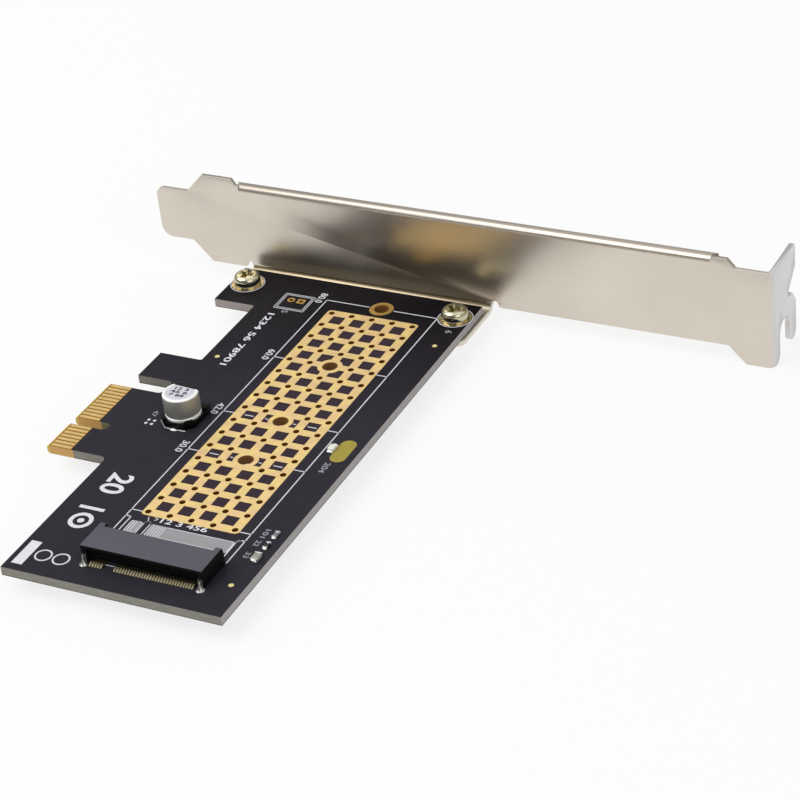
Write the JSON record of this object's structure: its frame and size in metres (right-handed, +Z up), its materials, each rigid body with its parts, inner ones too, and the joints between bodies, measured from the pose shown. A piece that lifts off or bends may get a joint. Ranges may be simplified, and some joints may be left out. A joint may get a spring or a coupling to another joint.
{
  "type": "solid-state drive adapter card",
  "caption": "Narrow circuit board with an edge-card tongue, a low drive socket, a gold heat pad with fixing holes and a full-height folded steel bracket",
  "frame": {"origin": "the card stop inside the drive socket, on the drive's centre line, at the board's top face", "axes": "+X along the bracket from its tongue to its screw tab, +Y from the drive socket towards the bracket, +Z up from the component side"},
  "size_m": [0.12, 0.1084, 0.0213],
  "materials": {
    "board": "satin black solder mask over glass laminate",
    "gold": "satin gold plating",
    "bracket_steel": "satin nickel-plated sheet",
    "screw_steel": "bright nickel plating with a warm tint",
    "socket_plastic": "fine matt moulding",
    "contact_metal": "gold flash",
    "tin": "bright tin",
    "base_plastic": "matt",
    "can_aluminium": "satin",
    "chip_ceramic": "matt",
    "resistor_ceramic": "matt",
    "lamp_white": "matt",
    "lamp_clear": "glossy"
  },
  "bodies": {
    "root": {"circuit_board": "board", "heat_pad": "gold", "end_hole_ring": "gold", "edge_contacts_top": "gold", "edge_contacts_bottom": "gold", "screw_pads": "gold", "header_pads": "gold", "position_marks": "gold", "bracket": "bracket_steel", "bracket_screws": "screw_steel", "socket_housing": "socket_plastic", "socket_contacts_upper": "contact_metal", "socket_contacts_lower": "contact_metal", "socket_hold_downs": "tin", "capacitor_base": "base_plastic", "capacitor_can": "can_aluminium", "capacitor_leads": "tin", "small_chip_body": "chip_ceramic", "small_chip_ends": "tin", "large_chip_body": "chip_ceramic", "large_chip_ends": "tin", "resistor_body": "resistor_ceramic", "resistor_ends": "tin", "lamp_base": "lamp_white", "lamp_lens": "lamp_clear", "lamp_ends": "tin"}
  },
  "joints": []
}
